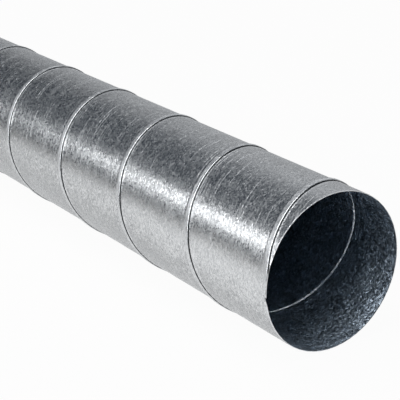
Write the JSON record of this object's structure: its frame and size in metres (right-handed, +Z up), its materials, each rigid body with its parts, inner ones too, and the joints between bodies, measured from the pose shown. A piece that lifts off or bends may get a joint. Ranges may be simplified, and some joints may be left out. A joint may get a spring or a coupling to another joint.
{
  "type": "spiral duct section",
  "caption": "Straight round ventilation duct wound from galvanised steel strip, with a helical lock seam outside and square-cut open ends.",
  "frame": {"origin": "on the floor under the middle of the duct, which lies on the crest of its seam", "axes": "+X along the duct towards the mouth that the picture shows, +Z up"},
  "size_m": [1, 0.164, 0.1639],
  "materials": {
    "galvanised_steel": "satin"
  },
  "bodies": {
    "root": {"spiral_duct": "galvanised_steel"}
  },
  "joints": []
}
